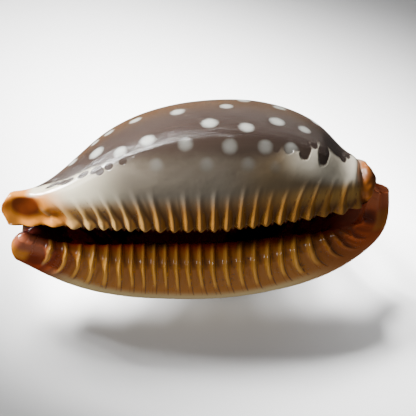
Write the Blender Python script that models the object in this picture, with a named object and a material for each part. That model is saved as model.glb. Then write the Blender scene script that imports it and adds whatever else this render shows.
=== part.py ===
"""A cowrie shell 27 mm long, lying on its outer lip's side with the toothed mouth in view.

The shell grew as one piece, so it is one closed solid: a thick plate rolled round into a
hollow egg, whose two long edges are the toothed lips of the mouth and whose two short
edges are the rims of the canals at its ends.  It is first worked out standing on its base,
in millimetres, with X along the shell from the front canal to the back canal, Y towards
the outer lip and Z towards the back.  It is then rolled over to the pose it lies in.
"""

import math

import bmesh
import bpy
import numpy as np
from mathutils import Matrix

MM = 0.001

# How it lies: rolled over from its base on to the outer lip's side, and the slight dip
# of its front end that goes with it.
ROLL_DEG = -106.8
DIP_DEG = 1.4

# How deep the flat is that has worn where the shell lies on the ground.
WORN_FLAT = 0.15

# How many cuts run across the shell, and how many faces each stretch of a cut has.
CUTS = 108
BASE_FACES = 5
BACK_FACES = 6
EDGE_POINTS = 3
CORNER_STEPS = 2

# The cuts whose sizes are given, from the front end at 0 to the back end at 1.
GIVEN_CUTS = (0.0, 0.05, 0.13, 0.25, 0.40, 0.55, 0.70, 0.82, 0.91, 0.96, 1.0)

# Table of offsets in millimetres, one column for each given cut.
OFFSETS = {
    # The mouth: how far along, across and up its middle line is, and its half width.
    "inner_lip_x": (-13.0, -10.9, -8.2, -5.3, -2.1, 1.3, 4.9, 7.8, 10.2, 11.9, 12.15),
    "outer_lip_x": (-12.2, -10.3, -8.0, -5.2, -2.1, 1.3, 4.8, 7.5, 9.9, 11.4, 12.5),
    "mouth_y": (0.1, 0.15, 0.3, 0.5, 0.5, 0.48, 0.15, -0.3, -0.7, -1.3, -2.55),
    "mouth_z": (1.3, 0.9, 0.45, 0.15, 0.0, 0.0, 0.2, 0.6, 1.2, 2.0, 3.7),
    "mouth_half": (0.42, 0.68, 0.82, 0.90, 0.88, 0.90, 0.90, 0.87, 0.88, 0.75, 0.25),
    # The margins, where the base turns up into the back.
    "inner_margin_x": (-12.9, -11.55, -9.3, -6.6, -2.7, 1.4, 5.6, 8.9, 10.7, 11.7, 11.9),
    "inner_margin_y": (-2.9, -3.0, -3.9, -5.6, -7.2, -7.8, -7.3, -6.0, -4.7, -4.3, -3.5),
    "inner_margin_z": (1.9, 2.0, 2.2, 2.6, 3.0, 3.1, 3.1, 3.1, 3.2, 3.4, 3.8),
    "outer_margin_x": (-12.7, -11.5, -9.4, -6.1, -2.5, 1.5, 5.6, 9.2, 12.15, 13.55, 13.7),
    "outer_margin_y": (2.95, 3.6, 4.75, 5.9, 6.35, 6.35, 5.65, 4.4, 2.45, 0.6, -1.3),
    "outer_margin_z": (2.0, 1.9, 2.0, 2.4, 2.7, 2.8, 2.7, 2.6, 2.9, 3.5, 4.6),
    # The crest of the back.
    "crest_x": (-11.4, -10.8, -9.3, -6.6, -2.7, 1.4, 5.6, 8.8, 10.3, 10.8, 11.1),
    "crest_y": (0.0, 0.0, 0.0, 0.0, -0.3, -0.5, -0.6, -0.8, -1.2, -1.7, -2.6),
    "crest_z": (3.5, 4.05, 6.3, 9.6, 11.3, 11.75, 11.6, 9.55, 6.9, 5.45, 4.7),
    # The hollow: its half width, and the thickness of its roof and of the lips under it.
    "hollow_half": (0.5, 0.7, 1.6, 3.6, 4.8, 5.0, 4.6, 3.2, 1.6, 1.0, 0.4),
    "roof": (0.9, 1.0, 1.2, 1.3, 1.3, 1.3, 1.3, 1.3, 1.2, 1.0, 0.40),
    "lip_height": (0.7, 0.8, 1.2, 2.0, 2.3, 2.3, 2.2, 1.6, 0.95, 0.6, 0.25),
    "lip_round": (0.4, 0.45, 0.7, 0.9, 0.9, 0.9, 0.9, 0.75, 0.45, 0.3, 0.2),
    # How many ribs have been passed at each cut, how far they lean backwards as they
    # leave the lip, and how far from the lip they reach, as shares of the base's width.
    "inner_rib": (-2.6, -1.6, 0.2, 3.2, 6.4, 10.1, 14.1, 17.1, 19.15, 20.6, 21.3),
    "outer_rib": (-2.2, -0.97, 1.3, 4.25, 8.1, 12.15, 15.75, 18.5, 20.75, 22.8, 24.0),
    "inner_lean": (-0.04, -0.04, -0.05, -0.07, -0.06, 0.01, 0.05, 0.045, 0.01, 0.03, 0.05),
    "outer_lean": (0.0, 0.0, 0.003, 0.03, 0.02, 0.03, 0.01, 0.01, 0.0, 0.0, 0.0),
    "inner_reach": (0.8, 0.9, 0.75, 0.48, 0.37, 0.35, 0.42, 0.58, 0.85, 1.0, 1.1),
    "outer_reach": (0.9, 0.95, 0.72, 0.52, 0.46, 0.46, 0.46, 0.5, 0.6, 0.75, 0.7),
}

# How full the rounding is: 2 is a plain ellipse, more is squarer.
BASE_FULLNESS = 2.3
BACK_FULLNESS = 2.15

# The ribs that cross the base and end as teeth in the mouth: how high they are, how sharp
# their tops are, and over what share of the base's width each one fades out.
INNER_RIB_HEIGHT = 0.38
OUTER_RIB_HEIGHT = 0.30
RIB_SHARPNESS = 1.4
RIB_FADE = 0.42

# Round forms of the ends: where along and round the girth each one is, how far it
# spreads along and round, and how high it stands; a hollow's height is below 0.
END_FORMS = (
    (0.976, 0.5, 0.019, 0.65, 0.50),  # the knob of the inner lip beside the back canal
    (0.946, 0.6, 0.011, 0.75, -0.26),  # the crease in front of the knob
    (0.024, 0.62, 0.018, 0.28, -0.36),  # the hollow in the front lobe
    (0.028, 3.62, 0.030, 0.24, -0.55),  # the smooth hollow of the outer lip's front lobe
    (0.080, 0.18, 0.028, 0.12, -0.30),  # where the teeth draw back behind the front lobe
)

# How far the rims of the canals bulge past the last cuts, round the girth.
RIM_GIRTHS = (0.0, 0.5, 1.0, 2.0, 3.0, 3.5, 4.0)
FRONT_RIM = (0.55, 1.2, 0.75, 1.0, 0.6, 1.05, 0.6)
BACK_RIM = (0.12, 0.1, 0.1, 0.1, 0.3, 0.3, 0.3)

ENAMEL_COLOUR = (0.42, 0.27, 0.15, 1.0)
ENAMEL_ROUGHNESS = 0.25


def smooth_step(start, end, value):
    """Rise smoothly from 0 at start to 1 at end; it falls instead when end is below start."""
    share = np.clip((value - start) / (end - start), 0.0, 1.0)
    return share * share * (3.0 - 2.0 * share)


def fair_curve(knots, heights, places):
    """Read a natural cubic spline through the knots, as a bent batten would lie."""
    knots = np.asarray(knots, float)
    heights = np.asarray(heights, float)
    gaps = np.diff(knots)
    slopes = np.diff(heights) / gaps
    system = np.eye(len(knots))
    load = np.zeros(len(knots))
    for k in range(1, len(knots) - 1):
        system[k, k - 1] = gaps[k - 1]
        system[k, k] = 2.0 * (gaps[k - 1] + gaps[k])
        system[k, k + 1] = gaps[k]
        load[k] = 6.0 * (slopes[k] - slopes[k - 1])
    bend = np.linalg.solve(system, load)
    span = np.clip(np.searchsorted(knots, places, side="right") - 1, 0, len(gaps) - 1)
    gap = gaps[span]
    left = knots[span + 1] - places
    right = places - knots[span]
    curve = (bend[span] * left**3 + bend[span + 1] * right**3) / (6.0 * gap)
    curve += (heights[span] / gap - bend[span] * gap / 6.0) * left
    curve += (heights[span + 1] / gap - bend[span + 1] * gap / 6.0) * right
    return curve


def read_offsets(places):
    """Every named size at every cut, as columns that stretch across a cut's points."""
    return {
        name: fair_curve(GIVEN_CUTS, sizes, places)[:, None]
        for name, sizes in OFFSETS.items()
    }


def points(x, y, z):
    """Join three grids of coordinates, stretched to one size, into a grid of points."""
    return np.stack(np.broadcast_arrays(x, y, z), axis=-1)


def base_half(size, lip, side):
    """From a lip's foot out to its margin; side is -1 for the inner lip, 1 for the outer."""
    turn = np.linspace(0.0, math.pi / 2.0, BASE_FACES, endpoint=False)[None, :]
    across = np.sin(turn) ** (2.0 / BASE_FULLNESS)
    up = 1.0 - np.cos(turn) ** (2.0 / BASE_FULLNESS)
    foot_y = size["mouth_y"] + side * (size["mouth_half"] + size["lip_round"])
    x = size[lip + "_lip_x"] + (size[lip + "_margin_x"] - size[lip + "_lip_x"]) * np.sin(turn) ** 1.5
    y = foot_y + (size[lip + "_margin_y"] - foot_y) * across
    z = size["mouth_z"] + (size[lip + "_margin_z"] - size["mouth_z"]) * up
    return points(x, y, z)


def back_half(size, lip):
    """From a margin up over the side, stopping short of the crest."""
    turn = np.linspace(0.0, math.pi / 2.0, BACK_FACES, endpoint=False)[None, :]
    across = np.cos(turn) ** (2.0 / BACK_FULLNESS)
    up = np.sin(turn) ** (2.0 / BACK_FULLNESS)
    x = size[lip + "_margin_x"] + (size["crest_x"] - size[lip + "_margin_x"]) * np.sin(turn) ** 2
    y = size["crest_y"] + (size[lip + "_margin_y"] - size["crest_y"]) * across
    z = size[lip + "_margin_z"] + (size["crest_z"] - size[lip + "_margin_z"]) * up
    return points(x, y, z)


def outside(size):
    """The outside of every cut, from the inner lip over the back to the outer lip."""
    crest = points(size["crest_x"], size["crest_y"], size["crest_z"])
    return np.concatenate(
        [
            base_half(size, "inner", -1),
            back_half(size, "inner"),
            crest,
            back_half(size, "outer")[:, ::-1],
            base_half(size, "outer", 1)[:, ::-1],
        ],
        axis=1,
    )


def hollow(size, count):
    """The wall of the hollow in every cut, from the inner lip round to the outer lip."""
    slit_half = np.minimum(size["mouth_half"] + 0.6 * size["lip_round"], size["hollow_half"])
    start = np.arcsin(slit_half / size["hollow_half"])
    turn = start + (2.0 * math.pi - 2.0 * start) * np.linspace(0.0, 1.0, count)[None, :]
    roof_z = size["crest_z"] - size["roof"]
    floor_z = size["mouth_z"] + size["lip_height"]
    half_height = (roof_z - floor_z) / (1.0 + np.cos(start))
    lowness = (np.cos(turn) + 1.0) / 2.0
    roof_y = 0.4 * size["mouth_y"] + 0.6 * size["crest_y"]
    middle_y = roof_y + (size["mouth_y"] - roof_y) * lowness**2
    lip_x = (size["inner_lip_x"] + size["outer_lip_x"]) / 2.0
    x = size["crest_x"] + (lip_x - size["crest_x"]) * lowness
    y = middle_y - size["hollow_half"] * np.sin(turn)
    z = roof_z - half_height * (1.0 + np.cos(turn))
    return points(x, y, z)


def rounded_edge(outer, inner, outward):
    """Points on a half turn from the outside to the hollow, bulging along outward."""
    turn = np.linspace(0.0, math.pi, EDGE_POINTS + 2)[1:-1][:, None]
    middle = (outer + inner) / 2.0
    reach = (outer - inner) / 2.0
    return (
        middle[..., None, :]
        + reach[..., None, :] * np.cos(turn)
        + outward[..., None, :] * np.sin(turn)
    )


def lip_push(size, outer, inner):
    """How far both lips' edges bulge, so that the mouth between them has its full width."""
    middle = (outer[:, -1, 1] + inner[:, -1, 1]) / 2.0
    return middle - size["mouth_y"][:, 0] - size["mouth_half"][:, 0]


def lip_edges(size, outer, inner):
    """The rounded edges of both lips, each pushed towards the middle of the mouth."""
    push = points(0.0, lip_push(size, outer, inner), 0.0)
    inner_edge = rounded_edge(outer[:, 0], inner[:, 0], push)
    outer_edge = rounded_edge(outer[:, -1], inner[:, -1], -push)
    return inner_edge, outer_edge


def outward_normals(loops):
    """Unit normals of a stack of closed loops, pointing out of the material."""
    along = np.gradient(loops, axis=0)
    around = np.roll(loops, -1, axis=1) - np.roll(loops, 1, axis=1)
    normal = np.cross(along, around)
    return normal / np.linalg.norm(normal, axis=-1, keepdims=True)


def girths():
    """Each column's place round the girth: 0 at the inner lip's foot, 4 at the outer's."""
    base = np.arange(BASE_FACES) / BASE_FACES
    back = np.arange(BACK_FACES) / BACK_FACES
    return np.concatenate([base, 1.0 + back, [2.0], 3.0 - back[::-1], 4.0 - base[::-1]])


def rib_row(size, places, lip, from_lip):
    """The ribs of one lip, between 0 in a groove and 1 on a rib."""
    leaning = places[:, None] - size[lip + "_lean"] * np.minimum(from_lip, 1.2)
    number = fair_curve(GIVEN_CUTS, OFFSETS[lip + "_rib"], np.clip(leaning, 0.0, 1.0))
    wave = (0.5 + 0.5 * np.cos(2.0 * math.pi * number)) ** RIB_SHARPNESS
    reach = smooth_step(size[lip + "_reach"], size[lip + "_reach"] - RIB_FADE, from_lip)
    ends = smooth_step(0.0, 0.05, places) * smooth_step(1.0, 0.955, places)
    return wave * reach * ends[:, None]


def end_forms(places, girth):
    """The round forms of the two ends, in millimetres."""
    height = 0.0
    for at_place, at_girth, along_spread, round_spread, form_height in END_FORMS:
        along = (places[:, None] - at_place) / along_spread
        around = (girth - at_girth) / round_spread
        height = height + form_height * np.exp(-(along**2) - around**2)
    return height


def relief(size, places):
    """How far each point of the outside is raised, in millimetres."""
    girth = girths()[None, :]
    knob = smooth_step(0.935, 0.955, places)[:, None] * smooth_step(1.7, 1.0, girth)
    inner_ribs = rib_row(size, places, "inner", girth) * (1.0 - knob)
    outer_ribs = rib_row(size, places, "outer", 4.0 - girth)
    ribs = INNER_RIB_HEIGHT * inner_ribs + OUTER_RIB_HEIGHT * outer_ribs
    return ribs + end_forms(places, girth)


def shell_surfaces(places):
    """The outside, the hollow and the two lip edges as grids of points, ribs included."""
    size = read_offsets(places)
    outer = outside(size)
    columns = outer.shape[1]
    inner = hollow(size, columns // 2 + 1)
    inner_edge, outer_edge = lip_edges(size, outer, inner)
    loops = np.concatenate([outer, outer_edge, inner[:, ::-1], inner_edge[:, ::-1]], axis=1)
    raised = relief(size, places)
    edge_fade = 1.0 - np.arange(1, EDGE_POINTS + 1) / (EDGE_POINTS + 1)
    heights = np.zeros(loops.shape[:2])
    heights[:, :columns] = raised
    heights[:, columns:columns + EDGE_POINTS] = raised[:, -1:] * edge_fade
    heights[:, -EDGE_POINTS:] = raised[:, :1] * edge_fade[::-1]
    loops = loops + outward_normals(loops) * heights[..., None]
    outer_edge = loops[:, columns:columns + EDGE_POINTS]
    inner_edge = loops[:, -EDGE_POINTS:][:, ::-1]
    return loops[:, :columns], inner, inner_edge, outer_edge


class ShellMesh:
    """Collects grids of corners and the faces between them."""

    def __init__(self):
        self.bm = bmesh.new()

    def corners(self, grid):
        flat = [self.bm.verts.new(point) for point in grid.reshape(-1, 3)]
        return np.array(flat, dtype=object).reshape(grid.shape[:-1])

    def skin(self, grid):
        """Put a face in every cell of a grid of corners, leaving out folded corners."""
        for row, next_row in zip(grid[:-1], grid[1:]):
            for k in range(len(row) - 1):
                ring = [row[k], next_row[k], next_row[k + 1], row[k + 1]]
                ring = list(dict.fromkeys(ring))
                if len(ring) > 2:
                    self.bm.faces.new(ring)


def framed(outer, middle, inner):
    """Set rows of corners between the outside's corners and the hollow's."""
    return np.concatenate([outer[..., None], middle, inner[..., None]], axis=-1)


def onward(outer, inner, cut, inward):
    """Which way the wall runs on past an end cut, leaning towards the shell's axis."""
    middle = (outer[cut] + inner[cut]) / 2.0
    before = (outer[cut + inward] + inner[cut + inward]) / 2.0
    ahead = middle - before
    ahead = ahead / np.linalg.norm(ahead, axis=-1, keepdims=True)
    ahead[:, 0] -= inward
    return ahead / np.linalg.norm(ahead, axis=-1, keepdims=True)


def close_canal(mesh, cut, inward, size, surfaces, corners, rim_bulges):
    """Round over the rim of a canal at one end, and the lips' ends beside it."""
    outer, inner = surfaces[0], surfaces[1]
    partner = (np.arange(outer.shape[1]) + 1) // 2
    push = lip_push(size, outer, inner)[cut]
    ahead = onward(outer, inner[:, partner], cut, inward)
    outer, inner = outer[cut], inner[cut][partner]
    thickness = np.linalg.norm(outer - inner, axis=-1)
    reach = np.minimum(fair_curve(RIM_GIRTHS, rim_bulges, girths()), thickness)
    bulge = ahead * reach[:, None]
    rim = mesh.corners(rounded_edge(outer, inner, bulge))
    strip = framed(corners[0][cut], rim, corners[1][cut][partner])
    mesh.skin(strip)
    for column, side, edge in ((0, 1.0, corners[2]), (-1, -1.0, corners[3])):
        last = strip[column]
        across = np.array([0.0, side * push, 0.0])
        for step in range(1, CORNER_STEPS):
            turn = math.pi / 2.0 * step / CORNER_STEPS
            outward = bulge[column] * math.cos(turn) + across * math.sin(turn)
            round_points = rounded_edge(outer[column], inner[column], outward)
            between = np.concatenate([last[:1], mesh.corners(round_points), last[-1:]])
            mesh.skin(np.stack([last, between]))
            last = between
        lip_end = np.concatenate([last[:1], edge[cut], last[-1:]])
        mesh.skin(np.stack([last, lip_end]))


def build_mesh():
    """Loft the whole shell through its cuts and close it all round."""
    places = np.linspace(0.0, 1.0, CUTS + 1)
    size = read_offsets(places)
    surfaces = shell_surfaces(places)
    mesh = ShellMesh()
    corners = [mesh.corners(surface) for surface in surfaces]
    outer, inner, inner_edge, outer_edge = corners
    mesh.skin(outer)
    mesh.skin(inner)
    mesh.skin(framed(outer[:, 0], inner_edge, inner[:, 0]))
    mesh.skin(framed(outer[:, -1], outer_edge, inner[:, -1]))
    close_canal(mesh, 0, 1, size, surfaces, corners, FRONT_RIM)
    close_canal(mesh, -1, -1, size, surfaces, corners, BACK_RIM)
    bmesh.ops.recalc_face_normals(mesh.bm, faces=mesh.bm.faces[:])
    bmesh.ops.triangulate(mesh.bm, faces=mesh.bm.faces[:])
    return mesh.bm


def lay_down(bm):
    """Roll the shell on to its side, wear its flat and stand it over the origin."""
    roll = Matrix.Rotation(math.radians(ROLL_DEG), 4, "X")
    dip = Matrix.Rotation(math.radians(DIP_DEG), 4, "Y")
    bm.transform(Matrix.Scale(MM, 4) @ dip @ roll)
    places = np.array([vert.co[:] for vert in bm.verts])
    middle = (places.min(axis=0) + places.max(axis=0)) / 2.0
    ground = places[:, 2].min() + WORN_FLAT * MM
    for vert in bm.verts:
        vert.co.z = max(vert.co.z, ground)
    bm.transform(Matrix.Translation((-middle[0], -middle[1], -ground)))


def enamel():
    """The glossy shell material."""
    material = bpy.data.materials.new("shell_enamel")
    material.use_nodes = True
    shader = material.node_tree.nodes["Principled BSDF"]
    shader.inputs["Base Color"].default_value = ENAMEL_COLOUR
    shader.inputs["Roughness"].default_value = ENAMEL_ROUGHNESS
    shader.inputs["Metallic"].default_value = 0.0
    return material


def clear_scene():
    for thing in list(bpy.data.objects):
        bpy.data.objects.remove(thing, do_unlink=True)


def build():
    clear_scene()
    collection = bpy.data.collections.new("cowrie_shell")
    bpy.context.scene.collection.children.link(collection)
    bm = build_mesh()
    lay_down(bm)
    mesh = bpy.data.meshes.new("shell")
    bm.to_mesh(mesh)
    bm.free()
    mesh.shade_smooth()
    mesh.materials.append(enamel())
    collection.objects.link(bpy.data.objects.new("shell", mesh))


build()
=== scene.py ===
"""A small spotted cowrie shell, lying on its outer lip's side with the toothed mouth in view."""

import math

import bpy
import numpy as np
from mathutils import Matrix, Vector


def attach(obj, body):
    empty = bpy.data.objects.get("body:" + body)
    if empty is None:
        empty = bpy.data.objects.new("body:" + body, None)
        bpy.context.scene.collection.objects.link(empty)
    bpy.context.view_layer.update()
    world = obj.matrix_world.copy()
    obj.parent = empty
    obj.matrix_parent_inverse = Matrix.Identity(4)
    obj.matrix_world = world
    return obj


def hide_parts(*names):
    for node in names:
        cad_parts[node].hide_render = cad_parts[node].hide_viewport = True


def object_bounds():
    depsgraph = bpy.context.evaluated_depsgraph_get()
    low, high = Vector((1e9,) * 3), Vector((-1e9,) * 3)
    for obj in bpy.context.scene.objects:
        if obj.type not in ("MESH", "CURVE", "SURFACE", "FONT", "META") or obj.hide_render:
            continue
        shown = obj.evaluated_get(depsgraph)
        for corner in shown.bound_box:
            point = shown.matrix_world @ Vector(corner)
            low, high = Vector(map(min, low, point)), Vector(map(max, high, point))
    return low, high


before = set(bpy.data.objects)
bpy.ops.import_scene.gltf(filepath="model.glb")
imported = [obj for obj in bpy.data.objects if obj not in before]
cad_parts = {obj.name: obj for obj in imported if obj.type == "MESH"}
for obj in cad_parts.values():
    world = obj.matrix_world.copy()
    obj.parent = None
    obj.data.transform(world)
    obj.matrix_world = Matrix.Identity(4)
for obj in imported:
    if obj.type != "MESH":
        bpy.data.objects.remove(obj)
cad_box = [list(corner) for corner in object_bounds()]

# ---------------------------------------------------------------------------------------
# Shell.  The animal grew it as one piece of hard enamel: a thick plate rolled round into
# a hollow egg, ribbed across its base, spotted on its back, and glazed over at the sides
# by layer upon layer of cream callus.  Sizes are in millimetres, worked out standing on
# the base: X runs from the front canal to the back one, Y to the outer lip, Z to the back.
# ---------------------------------------------------------------------------------------
MM = 0.001
# The cuts whose sizes are given, from the front end at 0 to the back end at 1.
GIVEN_CUTS = (0.0, 0.05, 0.13, 0.25, 0.40, 0.55, 0.70, 0.82, 0.91, 0.96, 1.0)
OFFSETS = {
    # The mouth: how far along, across and up its middle line is, and its half width.
    "inner_lip_x": (-13.0, -10.9, -8.2, -5.3, -2.1, 1.3, 4.9, 7.8, 10.2, 11.9, 12.15),
    "outer_lip_x": (-12.2, -10.3, -8.0, -5.2, -2.1, 1.3, 4.8, 7.5, 9.9, 11.4, 12.5),
    "mouth_y": (0.1, 0.15, 0.3, 0.5, 0.5, 0.48, 0.15, -0.3, -0.7, -1.3, -2.55),
    "mouth_z": (1.3, 0.9, 0.45, 0.15, 0.0, 0.0, 0.2, 0.6, 1.2, 2.0, 3.7),
    "mouth_half": (0.42, 0.68, 0.82, 0.90, 0.88, 0.90, 0.90, 0.87, 0.88, 0.75, 0.25),
    # The margins, where the base turns up into the back.
    "inner_margin_x": (-12.9, -11.55, -9.3, -6.6, -2.7, 1.4, 5.6, 8.9, 10.7, 11.7, 11.9),
    "inner_margin_y": (-2.9, -3.0, -3.9, -5.6, -7.2, -7.8, -7.3, -6.0, -4.7, -4.3, -3.5),
    "inner_margin_z": (1.9, 2.0, 2.2, 2.6, 3.0, 3.1, 3.1, 3.1, 3.2, 3.4, 3.8),
    "outer_margin_x": (-12.7, -11.5, -9.4, -6.1, -2.5, 1.5, 5.6, 9.2, 12.15, 13.55, 13.7),
    "outer_margin_y": (2.95, 3.6, 4.75, 5.9, 6.35, 6.35, 5.65, 4.4, 2.45, 0.6, -1.3),
    "outer_margin_z": (2.0, 1.9, 2.0, 2.4, 2.7, 2.8, 2.7, 2.6, 2.9, 3.5, 4.6),
    # The crest of the back.
    "crest_x": (-11.4, -10.8, -9.3, -6.6, -2.7, 1.4, 5.6, 8.8, 10.3, 10.8, 11.1),
    "crest_y": (0.0, 0.0, 0.0, 0.0, -0.3, -0.5, -0.6, -0.8, -1.2, -1.7, -2.6),
    "crest_z": (3.5, 4.05, 6.3, 9.6, 11.3, 11.75, 11.6, 9.55, 6.9, 5.45, 4.7),
    # The hollow: its half width, and the thickness of its roof and of the lips under it.
    "hollow_half": (0.5, 0.7, 1.6, 3.6, 4.8, 5.0, 4.6, 3.2, 1.6, 1.0, 0.4),
    "roof": (0.9, 1.0, 1.2, 1.3, 1.3, 1.3, 1.3, 1.3, 1.2, 1.0, 0.40),
    "lip_height": (0.7, 0.8, 1.2, 2.0, 2.3, 2.3, 2.2, 1.6, 0.95, 0.6, 0.25),
    "lip_round": (0.4, 0.45, 0.7, 0.9, 0.9, 0.9, 0.9, 0.75, 0.45, 0.3, 0.2),
    # How many ribs have been passed at each cut, how far they lean backwards as they
    # leave the lip, and how far from the lip they reach, as shares of the base's width.
    "inner_rib": (-2.6, -1.6, 0.2, 3.2, 6.4, 10.1, 14.1, 17.1, 19.15, 20.6, 21.3),
    "outer_rib": (-2.2, -0.97, 1.3, 4.25, 8.1, 12.15, 15.75, 18.5, 20.75, 22.8, 24.0),
    "inner_lean": (-0.04, -0.04, -0.05, -0.07, -0.06, 0.01, 0.05, 0.045, 0.01, 0.03, 0.05),
    "outer_lean": (0.0, 0.0, 0.003, 0.03, 0.02, 0.03, 0.01, 0.01, 0.0, 0.0, 0.0),
    "outer_edge_lean": (-0.02, -0.02, -0.02, -0.01, 0.0, 0.0, 0.0, 0.02, 0.05, 0.05, 0.03),
    "inner_reach": (0.8, 0.9, 0.75, 0.48, 0.37, 0.35, 0.42, 0.58, 0.85, 1.0, 1.1),
    "outer_reach": (0.9, 0.95, 0.72, 0.52, 0.46, 0.46, 0.46, 0.5, 0.6, 0.75, 0.7),
    # Where the glaze of the inner side ends on the back, counted from the inner lip's
    # foot at 0 over the margin at 1 to the crest at 2, and how soft that edge is.
    "glaze_edge": (1.6, 1.20, 0.97, 0.80, 0.54, 0.47, 0.62, 1.00, 1.12, 1.7, 2.2),
    "glaze_softness": (0.1, 0.05, 0.04, 0.06, 0.22, 0.24, 0.14, 0.05, 0.05, 0.1, 0.1),
}
# How full the curves of the base and of the back are: at 2 they would be ellipses.
BASE_FULLNESS = 2.3
BACK_FULLNESS = 2.15
# How far the rims of the canals bulge past the last cuts at these places round the girth,
# and how strongly they point along the shell.
RIM_GIRTHS = (0.0, 0.5, 1.0, 2.0, 3.0, 3.5, 4.0)
FRONT_RIM = (0.55, 1.2, 0.75, 1.0, 0.6, 1.05, 0.6)
BACK_RIM = (0.12, 0.1, 0.1, 0.1, 0.3, 0.3, 0.3)
FRONT_RIM_LEAN = (1.0, 1.0, 1.0, 1.0, 1.0, 1.0, 1.0)
BACK_RIM_LEAN = (1.0, 1.0, 1.0, 0.8, 0.1, 0.1, 0.6)
# Round forms of the ends: where along and round the girth each one is, how far it
# spreads along and round, and how high it stands in millimetres, below 0 for a hollow.
END_FORMS = (
    (0.976, 0.5, 0.019, 0.65, 0.50),  # the knob of the inner lip beside the back canal
    (0.946, 0.6, 0.011, 0.75, -0.26),  # the crease in front of the knob
    (0.031, 0.53, 0.026, 0.36, -0.27),  # the hollow in the front lobe
    (0.028, 3.62, 0.030, 0.24, -0.55),  # the smooth hollow of the outer lip's front lobe
    (0.080, 0.18, 0.028, 0.12, -0.30),  # where the teeth draw back behind the front lobe
    (0.995, 3.38, 0.035, 0.20, -0.40),  # the round end of the outer lip's back lobe
    (0.973, 3.78, 0.009, 0.18, -0.30),  # the hollow in the outer lip's back lobe
)
# How finely it is divided: stretches along the shell, faces in each part of a cut, points
# over a rounded edge, and steps round each corner where a lip meets the rim of a canal.
CUTS = 440
BASE_FACES = 44
INNER_BACK_FACES = 44
OUTER_BACK_FACES = 20
EDGE_POINTS = 10
CORNER_STEPS = 5


def smooth_step(start, end, value):
    """Rise smoothly from 0 at start to 1 at end; it falls instead when end is below start."""
    share = np.clip((value - start) / (end - start), 0.0, 1.0)
    return share * share * (3.0 - 2.0 * share)


def fair_curve(knots, heights, places):
    """Read a natural cubic spline through the knots, as a bent batten would lie."""
    knots = np.asarray(knots, float)
    heights = np.asarray(heights, float)
    gaps = np.diff(knots)
    slopes = np.diff(heights) / gaps
    system = np.eye(len(knots))
    load = np.zeros(len(knots))
    for k in range(1, len(knots) - 1):
        system[k, k - 1] = gaps[k - 1]
        system[k, k] = 2.0 * (gaps[k - 1] + gaps[k])
        system[k, k + 1] = gaps[k]
        load[k] = 6.0 * (slopes[k] - slopes[k - 1])
    bend = np.linalg.solve(system, load)
    span = np.clip(np.searchsorted(knots, places, side="right") - 1, 0, len(gaps) - 1)
    gap = gaps[span]
    left = knots[span + 1] - places
    right = places - knots[span]
    curve = (bend[span] * left**3 + bend[span + 1] * right**3) / (6.0 * gap)
    curve += (heights[span] / gap - bend[span] * gap / 6.0) * left
    curve += (heights[span + 1] / gap - bend[span + 1] * gap / 6.0) * right
    return curve


def points(x, y, z):
    """Join three grids of coordinates, stretched to one size, into a grid of points."""
    return np.stack(np.broadcast_arrays(x, y, z), axis=-1)


place = np.linspace(0.0, 1.0, CUTS + 1)[:, None]
size = {
    name: fair_curve(GIVEN_CUTS, sizes, place[:, 0])[:, None] for name, sizes in OFFSETS.items()
}


def base_half(lip, side, share):
    """From a lip's foot out to its margin; side is -1 for the inner lip, 1 for the outer."""
    turn = share * math.pi / 2.0
    across = np.sin(turn) ** (2.0 / BASE_FULLNESS)
    up = 1.0 - np.cos(turn) ** (2.0 / BASE_FULLNESS)
    foot_y = size["mouth_y"] + side * (size["mouth_half"] + size["lip_round"])
    foot_x = size[lip + "_lip_x"]
    x = foot_x + (size[lip + "_margin_x"] - foot_x) * np.sin(turn) ** 1.5
    y = foot_y + (size[lip + "_margin_y"] - foot_y) * across
    z = size["mouth_z"] + (size[lip + "_margin_z"] - size["mouth_z"]) * up
    return points(x, y, z)


def back_half(lip, share):
    """From a margin up over the side, to the crest."""
    turn = share * math.pi / 2.0
    across = np.maximum(np.cos(turn), 0.0) ** (2.0 / BACK_FULLNESS)
    up = np.sin(turn) ** (2.0 / BACK_FULLNESS)
    x = size[lip + "_margin_x"] + (size["crest_x"] - size[lip + "_margin_x"]) * np.sin(turn) ** 2
    y = size["crest_y"] + (size[lip + "_margin_y"] - size["crest_y"]) * across
    z = size[lip + "_margin_z"] + (size["crest_z"] - size[lip + "_margin_z"]) * up
    return points(x, y, z)


def hollow(count):
    """The wall of the hollow in every cut, from the inner lip round to the outer lip."""
    slit_half = np.minimum(size["mouth_half"] + 0.6 * size["lip_round"], size["hollow_half"])
    start = np.arcsin(slit_half / size["hollow_half"])
    turn = start + (2.0 * math.pi - 2.0 * start) * np.linspace(0.0, 1.0, count)[None, :]
    roof_z = size["crest_z"] - size["roof"]
    floor_z = size["mouth_z"] + size["lip_height"]
    half_height = (roof_z - floor_z) / (1.0 + np.cos(start))
    lowness = (np.cos(turn) + 1.0) / 2.0
    roof_y = 0.4 * size["mouth_y"] + 0.6 * size["crest_y"]
    middle_y = roof_y + (size["mouth_y"] - roof_y) * lowness**2
    lip_x = (size["inner_lip_x"] + size["outer_lip_x"]) / 2.0
    x = size["crest_x"] + (lip_x - size["crest_x"]) * lowness
    y = middle_y - size["hollow_half"] * np.sin(turn)
    z = roof_z - half_height * (1.0 + np.cos(turn))
    return points(x, y, z)


def rounded_edge(outer, inner, outward):
    """Points on a half turn from the outside to the hollow, bulging along outward."""
    turn = np.linspace(0.0, math.pi, EDGE_POINTS + 2)[1:-1][:, None]
    middle = (outer + inner) / 2.0
    reach = (outer - inner) / 2.0
    return (
        middle[..., None, :]
        + reach[..., None, :] * np.cos(turn)
        + outward[..., None, :] * np.sin(turn)
    )


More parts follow.
